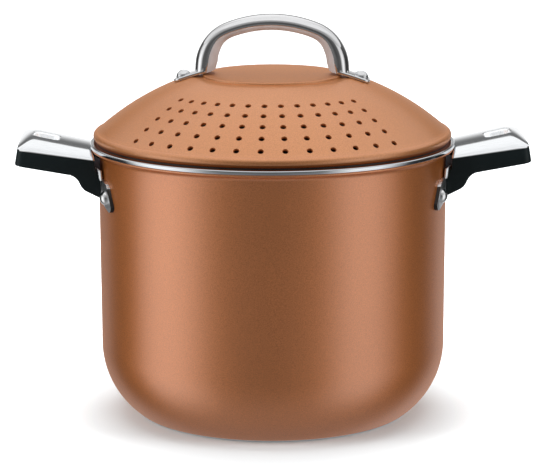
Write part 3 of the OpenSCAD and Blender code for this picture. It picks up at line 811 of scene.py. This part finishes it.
# %% The drill, copied to every hole
ROWS, COLUMNS, ROW_STEP, COLUMN_TURN, EDGE_GAP = 5, 13, 9.5, 7.9, 3.7
LID_TURN = math.radians(-5)
last_row = math.asin((ROLL_X - EDGE_GAP) / DOME_R)
drills = []
for row in range(ROWS):
    for column in range(COLUMNS):
        hole = copy_of(drill)
        hole.location = (0, 0, DOME_Z * MM)
        hole.rotation_euler = (0, last_row - row * ROW_STEP / DOME_R, LID_TURN + math.radians(
            -90 + (column - COLUMNS // 2) * COLUMN_TURN))
        drills.append(hole)
print("drills:", len(drills))
bpy.data.objects.remove(drill)
join(drills[0], drills[1:])
bake_place(drills[0])
combine(lid_dome, drills[0])
print("lid after drilling:", len(lid_dome.data.polygons), "faces")

# %% [markdown]
# The paint stops where the sheet turns in. What lies inside the sheet, or below
# the roll, is bare metal. The gap between roll and flange gets a near-black
# finish, a painted shade. The walls of the holes get a dark brown paint, a
# painted shade as well.

# %% Finish the lid
def from_axis(face):
    return math.hypot(face.center.x, face.center.y)


def from_dome_center(face):
    return face.center - Vector((0, 0, DOME_Z * MM))


def inside_sheet(face):
    looks_in = (face.normal.z < -0.1 or outward(face) < -0.1
                or abs(face.center.z - 0.1615) < 0.0001)
    return face.center.z < 0.16005 or (
        from_axis(face) < 0.1039 and looks_in and from_dome_center(face).length < 0.15415)


def in_gap(face):
    return (0.1614 < face.center.z < 0.16305 and 0.1030 < from_axis(face) < 0.10445
            and outward(face) > -0.2)


def in_hole(face):
    """Faces of the punched walls look across the sheet, not out of it."""
    away = from_dome_center(face)
    return (face.center.z > 0.1665 and face.center.y < -0.02 and 0.1538 < away.length < 0.1556
            and from_axis(face) > 0.05 and abs(face.normal.dot(away.normalized())) < 0.6)


give_zone(lid_dome, lid_paint)
give_zone(lid_dome, lid_inside, inside_sheet)
give_zone(lid_dome, painted_shade_edge, in_gap)
give_zone(lid_dome, hole_painted_shade, in_hole)
settle(lid_dome, "lid_dome", "lid", "copper_lid", "lid_shell")

# %% [markdown]
# ## The lid handle
# The handle is one thick strap of polished steel, bent over a former: a leg, a
# tight shoulder, a long flat crown, and the same again down the other side. A
# ring with the strap's oval section is carried along that path with extrude
# for the legs and spin for the bends, so the section stays true all the way.

# %% The section of the strap
SPLAY, CROWN_SWEEP, SHOULDER_SWEEP = (math.radians(a) for a in (3, 22, 68))
SHOULDER, CROWN_Z = (17.23 * MM, 205.1 * MM), 162.44 * MM
SHOULDER_R, LEG = 23.3 * MM, 14.2 * MM
HALF_THICK, HALF_WIDE, FULLNESS = 4.7, 8.5, 2.3
arch = add("circle", vertices=48, radius=1, fill_type="NGON")
for vertex in arch.data.vertices:
    x, y, _ = vertex.co
    fuller = (abs(x) ** FULLNESS + abs(y) ** FULLNESS) ** (-1 / FULLNESS)
    vertex.co = (x * fuller * HALF_THICK * MM, y * fuller * HALF_WIDE * MM, 0)
start = Vector((SHOULDER[0] + SHOULDER_R * math.cos(SPLAY) + LEG * math.sin(SPLAY), 0,
                SHOULDER[1] + SHOULDER_R * math.sin(SPLAY) - LEG * math.cos(SPLAY)))
arch.location = start
arch.rotation_euler = (0, -SPLAY, 0)
bake_place(arch)
print("strap starts at", [round(c / MM, 1) for c in start])


# %% The path: leg, shoulder, crown, shoulder, leg
def bend(center_x, center_z, angle, steps):
    bpy.ops.mesh.spin(steps=steps, angle=angle, center=(center_x, 0, center_z), axis=(0, 1, 0))


mode("EDIT")
bpy.ops.mesh.select_mode(type="FACE")
bpy.ops.mesh.select_all(action="SELECT")
for rise in (0.25, 0.25, 0.5):
    extrude(-LEG * rise * math.sin(SPLAY), 0, LEG * rise * math.cos(SPLAY))
bend(SHOULDER[0], SHOULDER[1], SHOULDER_SWEEP - SPLAY, 18)
bend(0, CROWN_Z, 2 * CROWN_SWEEP, 16)
bend(-SHOULDER[0], SHOULDER[1], SHOULDER_SWEEP - SPLAY, 18)
for fall in (0.5, 0.25, 0.25):
    extrude(-LEG * fall * math.sin(SPLAY), 0, -LEG * fall * math.cos(SPLAY))
close_up()
print("arch top", round(max(v.co.z for v in arch.data.vertices) / MM, 2), "mm")

# %% [markdown]
# Bending crowds the metal on the inner side of a shoulder, so the strap is
# fuller there. A short table gives how many millimetres are added at a height,
# and only the half of the strap that looks inward takes them.

# %% The inner corners, filled
FILL = [(190, 0.6), (200, 1.6), (208, 3.6), (215, 2.6), (223, 0.0), (260, 0.0)]
for vertex in arch.data.vertices:
    x, z = abs(vertex.co.x) / MM, vertex.co.z / MM
    low, high = next((a, b) for a, b in zip(FILL, FILL[1:]) if a[0] <= z <= b[0])
    fill = low[1] + (high[1] - low[1]) * (z - low[0]) / (high[0] - low[0])
    swing = max(0.0, z - SHOULDER[1] / MM) / SHOULDER_R * MM
    middle = SHOULDER[0] / MM + SHOULDER_R / MM * math.sqrt(max(0.0, 1 - swing ** 2))
    inner = min(1.0, max(0.0, 0.5 + (middle - x) / (2 * HALF_THICK)))
    vertex.co.x = math.copysign((x - fill * inner) * MM, vertex.co.x)
print("inner corners filled by up to", max(fill for _, fill in FILL), "mm")

# %% [markdown]
# Each end of the strap is pressed flat into a foot that follows the dome and
# takes one rivet. A foot is a plane, cut into a grid, laid on the dome, given
# its thickness, and its edges are softened. The arch is trimmed with the dome
# itself, so that nothing of it reaches inside the lid.

# %% One foot, laid on the dome
def round_corner(x, y, center_x, center_y):
    """Draws the square corner of a grid in to a quarter circle."""
    dx, dy = x - center_x, abs(y) - center_y
    if dx <= 0 or dy <= 0:
        return x, y
    pull = max(dx, dy) / math.hypot(dx, dy)
    return center_x + dx * pull, math.copysign(center_y + dy * pull, y)


FOOT_X, FOOT_L, FOOT_W, FOOT_THICK = 47.5, 19, 17, 1.9
foot = add("grid", x_subdivisions=16, y_subdivisions=12, size=1)
for vertex in foot.data.vertices:
    x, y = FOOT_X + FOOT_L * vertex.co.x, FOOT_W * vertex.co.y
    x, y = round_corner(x, y, 53.0, 4.5)
    vertex.co = (x * MM, y * MM, (dome_at(math.hypot(x, y)) + 0.1) * MM)
apply_modifier(foot, "SOLIDIFY", thickness=FOOT_THICK * MM, offset=1)
round_edges(foot, 0.7, 3, 50)
other = copy_of(foot)
other.rotation_euler = (0, 0, math.pi)
join(foot, [other])
bake_place(foot)
print("feet:", len(foot.data.polygons), "faces")

# %% Trim the arch on the dome and join the feet
TRIM_R, TRIM_GAP = 70, 0.12
trim = turn_on_lathe("trim", [(0, 150)] + [(r, dome_at(r) + TRIM_GAP) for r in range(TRIM_R, 0, -2)]
                     + [(0, dome_at(0) + TRIM_GAP)], steps=96)
combine(arch, trim)
combine(arch, foot, "UNION")
arch.rotation_euler = (0, 0, LID_TURN)
give_zone(arch, handle_chrome)


def under_arch(face):
    """Faces of the strap that look back at the middle of the bow."""
    away = face.center - Vector((0, 0, 0.194))
    flat = Vector((away.x, 0, max(away.z, 0.0)))
    return face.center.z > 0.1925 and face.normal.dot(flat.normalized()) < -0.22


# The faces under the bow take the painted shade and copper reflection.
give_zone(arch, arch_painted_shade_under, under_arch)
settle(arch, "lid_arch", "lid", "handle_chrome", "lid_handle", angle=40)


# %% [markdown]
# ## The side handles
# Each grip is moulded plastic. Its solid is right already, but a mould cannot
# make a knife edge, and neither can a press: every real edge has a small
# radius that catches the light. So a copy of the solid is cleaned into whole
# faces, and its edges are softened by the radius that such a part has.

# %% Softening the edges of a solid
def soften(cad_name, name, width, segments=3, limit=32, flat=0.6):
    """A copy of a CAD solid with whole faces and rounded edges."""
    only(nodes[cad_name])
    bpy.ops.object.duplicate()
    piece = bpy.context.object
    piece.parent = None
    for key in [k for k in piece.keys() if k.startswith("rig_")]:
        del piece[key]
    piece.name = name
    piece.data.materials.clear()
    mode("EDIT")
    bpy.ops.mesh.select_all(action="SELECT")
    bpy.ops.mesh.remove_doubles(threshold=0.00001)
    bpy.ops.mesh.dissolve_limited(angle_limit=math.radians(flat))
    mode("OBJECT")
    round_edges(piece, width, segments, limit)
    return piece


def both_sides(piece, label, finish, slot, part, angle=35):
    """Makes the left piece as a copy of the right one, turned half way round."""
    if finish:
        give_zone(piece, finish)
    twin = copy_of(piece)
    twin.rotation_mode = "XYZ"
    twin.rotation_euler = (0, 0, math.pi)
    settle(piece, f"right_{label}", "pot", slot, f"right_{part}", angle=angle)
    settle(twin, f"left_{label}", "pot", slot, f"left_{part}", angle=angle)


# %% [markdown]
# Grip and cover share a frame of their own: it starts on the rim, runs outwards
# and is tilted up. In it the grip is wider at its end than at the pot, and the
# cover rises a little before its nose falls to the end.

# %% The frame of the right handle
GRIP_X, GRIP_Z, TILT = 104.95, 155.2, math.radians(9.5)
GRIP_L, POT_HALF, END_HALF = 43.4, 30, 37
COVER_L, NOSE_L, COVER_H, ROOT = 45.8, 11.0, 5.8, 0.75


def half_width(x):
    return POT_HALF + (END_HALF - POT_HALF) * x / GRIP_L


def cover_rise(x):
    body = COVER_H * (ROOT + (1 - ROOT) * min(1, x / (COVER_L - NOSE_L)))
    into = min(1.0, max(0.0, (x - (COVER_L - NOSE_L)) / NOSE_L))
    return body * (1 - into ** 2)


print("cover height at the pot and before the nose:",
      [round(cover_rise(x), 2) for x in (0, COVER_L - NOSE_L)])

# %% [markdown]
# The outer end of the real grip is nearly straight, and the solid's end bows
# out more. So the softened copy is drawn in, most in the middle of its end and
# not at all at the sides or at the pot.


# %% Grips
def straighten_end(piece, inward=1.8):
    """Takes most of the bow out of the outer end of the grip."""
    for vertex in piece.data.vertices:
        x, y, z = vertex.co / MM
        out = (x - GRIP_X) * math.cos(TILT) + (z - GRIP_Z) * math.sin(TILT)
        pull = inward * max(0.0, 1 - (y / END_HALF) ** 2) * max(0.0, out / COVER_L) ** 3
        vertex.co.x -= pull * math.cos(TILT) * MM
        vertex.co.z -= pull * math.sin(TILT) * MM


grip_block = soften("right_grip", "grip_body", 1.1, 4)
straighten_end(grip_block)
both_sides(grip_block, "grip_body", grip_plastic, "phenolic", "grip")

# %% [markdown]
# ## The covers
# A cover is thin bright sheet, domed over the grip, lower at the pot and with a
# rounded nose. A grid is shaped to the dome: its lines crowd towards the sides
# and the nose, where the sheet curves most. Its pot edge follows the round rim.

# %% The sheet, shaped from a grid
cover = add("grid", x_subdivisions=56, y_subdivisions=64, size=2)
BAND_CLEAR, END_CORNER, BOW, LIFT_OFF = 107.75, 5, 0.6, 0.05
for vertex in cover.data.vertices:
    u, v = (vertex.co.x + 1) / 2, vertex.co.y
    across = math.sin(v * math.pi / 2)
    x = COVER_L * math.sin(u * math.pi / 2) ** 0.9
    bow = BOW * (1 - across ** 2) * max(0.0, x / COVER_L) ** 3
    x *= GRIP_L / COVER_L
    y = across * half_width(x)
    pot_edge = (math.sqrt(BAND_CLEAR ** 2 - y * y) - GRIP_X) / math.cos(TILT)
    x = pot_edge + (GRIP_L - pot_edge) * x / GRIP_L
    x, y = round_corner(x, y, GRIP_L - END_CORNER, END_HALF - END_CORNER)
    x += bow
    lift = cover_rise(max(x, 0)) * math.sqrt(max(0.0, 1 - across ** 2))
    vertex.co = (x * MM, y * MM, (LIFT_OFF + lift) * MM)
print("cover sheet:", len(cover.data.vertices), "points")

# %% [markdown]
# The hang slot is pierced and its edge is drawn down in one stroke, which
# leaves a soft curl and a collar that narrows. The slot is cut too large with a
# boolean first. Then its open edge is found, extruded down round a quarter
# circle in five steps, and down once more for the collar.

# %% The hang slot, cut
SLOT_X, SLOT_L, SLOT_W, SLOT_CORNER = 29.05, 13.5, 15.0, 3
CURL, COLLAR, TAPER = 1.6, 3.6, 2.5
slot_tool = add("cube", size=1, location=(SLOT_X * MM, 0, 0),
                scale=((SLOT_L + 2 * CURL) * MM, (SLOT_W + 2 * CURL) * MM, 30 * MM))
bake_place(slot_tool)


def is_upright(edge):
    one, two = (slot_tool.data.vertices[i].co for i in edge.vertices)
    return abs(one.z - two.z) > 0.02


mode("EDIT")
print("upright corners:", pick(slot_tool, "edges", is_upright))
bpy.ops.mesh.bevel(offset=(SLOT_CORNER + CURL) * MM, segments=8, affect="EDGES")
mode("OBJECT")
combine(cover, slot_tool)

# %% Its open edge, found
cover.data.update(calc_edges=True)
uses = {}
for face in cover.data.polygons:
    for key in face.edge_keys:
        uses[key] = uses.get(key, 0) + 1
border = {e.index for e in cover.data.edges if uses.get(e.key, 0) == 1}


def near_slot(x, y, margin):
    """Tells if a place in the handle's frame lies over the slot or its margin."""
    return abs(x - SLOT_X) < SLOT_L / 2 + margin and abs(y) < SLOT_W / 2 + margin


def on_slot_edge(edge):
    ends = [cover.data.vertices[i].co / MM for i in edge.vertices]
    return edge.index in border and all(near_slot(c.x, c.y, 2) for c in ends)


only(cover)
mode("EDIT")
print("slot edge:", pick(cover, "edges", on_slot_edge), "edges")


# %% The edge, turned down
def lower_edge(drop, along, across):
    """Extrudes the slot's edge down and draws it together."""
    bpy.ops.mesh.extrude_edges_move(TRANSFORM_OT_translate={"value": (0, 0, drop * MM)})
    bpy.ops.transform.resize(value=(along, across, 1), center_override=(SLOT_X * MM, 0, 0))


before = 0.0
for angle in (18, 36, 54, 72, 90):
    now = math.sin(math.radians(angle))
    drop = math.cos(math.radians(angle)) - math.sqrt(1 - before ** 2)
    was, new = CURL * (1 - before), CURL * (1 - now)
    lower_edge(drop * CURL, (SLOT_L + 2 * new) / (SLOT_L + 2 * was),
               (SLOT_W + 2 * new) / (SLOT_W + 2 * was))
    before = now
lower_edge(-COLLAR, 1 - 2 * TAPER / SLOT_L, 1 - 2 * TAPER / SLOT_W)
mode("OBJECT")
print("cover with its collar:", len(cover.data.vertices), "points")

# %% [markdown]
# Last the sheet gets its thickness and soft edges. The collar takes a duller
# steel, because its walls are drawn and not polished.

# %% Thickness and finish of the covers
apply_modifier(cover, "SOLIDIFY", thickness=1.0 * MM, offset=-1, use_even_offset=True)
round_edges(cover, 0.35, 3, 48)
give_zone(cover, cover_steel)
give_zone(cover, slot_steel, lambda f: f.normal.z < 0.8 and f.center.z > 0.001
          and near_slot(f.center.x / MM, f.center.y / MM, 0.6))
cover.location = (GRIP_X * MM, 0, GRIP_Z * MM)
cover.rotation_euler = (0, -TILT, 0)
bake_place(cover)
both_sides(cover, "cover_sheet", None, "cover_steel", "grip_cover", angle=40)

# %% [markdown]
# ## Yokes, heels and small steel
# A steel yoke is riveted to the wall on each side and runs into the grip, and
# a grey heel fills the space above it. Their solids are softened in the same
# way as the grips, each by the radius that its material would have. Two thin
# webs stiffen the corner between yoke and wall. Each is a plane with its
# corners listed, and a thickness.

# %% Bracket webs
WEB_THICK, WEB_ROOT, WEB_LEAN = 1.2, (99.6, 29.6), (0.79, -0.62)
WEB_CORNERS = ((-0.5, 143.2), (1.3, 143.2), (0.2, 149.0), (4.6, 151.0))


def bracket_web(side):
    """One web: its corners are given as distance off the wall and height."""
    web = add("plane", size=1)
    for vertex, (out, height) in zip(web.data.vertices, WEB_CORNERS):
        x, y = (root + lean * out for root, lean in zip(WEB_ROOT, WEB_LEAN))
        vertex.co = (x * MM, side * y * MM, height * MM)
    only(web)
    mode("EDIT")
    close_up()
    apply_modifier(web, "SOLIDIFY", thickness=WEB_THICK * MM, offset=0)
    round_edges(web, 0.3, 2, 50)
    return web


# %% Yokes
yoke = soften("right_yoke", "yoke_plate", 0.45)
join(yoke, [bracket_web(side) for side in (-1, 1)])
print("yoke with its webs:", len(yoke.data.polygons), "faces")

# %% [markdown]
# The lower edges of the ears face away from every light. They are their own
# zone, with a near-black finish that paints their shade in as a dark line.

# %% Finish the yokes
give_zone(yoke, yoke_steel)
give_zone(yoke, painted_shade_edge, lambda f: abs(f.normal.x) < 0.3 and abs(f.center.y) > 0.03
          and f.center.z < 0.1395)
both_sides(yoke, "yoke_plate", None, "yoke_steel", "yoke")

# %% Heels
heel = soften("right_heel", "heel_block", 0.6)
both_sides(heel, "heel_block", heel_plastic, "heel_grey", "heel")

# %% [markdown]
# Rivets and grip screws are small turned parts. Their solids are already what
# they should be, so they keep their mesh and only get a finish.

# %% Give the carried-over solids their finish
def dress(name, finish, angle=35):
    solid = nodes[name]
    solid.data.materials.clear()
    solid.data.materials.append(finish)
    weld = solid.modifiers.new("Weld", "WELD")
    weld.merge_threshold = 0.00001
    only(solid)
    bpy.ops.object.shade_smooth_by_angle(angle=math.radians(angle))
    print(name, "wears", finish.name)


dress("lid_rivets", rivet_metal)
for side in ("left", "right"):
    for part in ("yoke_rivets", "grip_screw"):
        dress(f"{side}_{part}", rivet_metal)
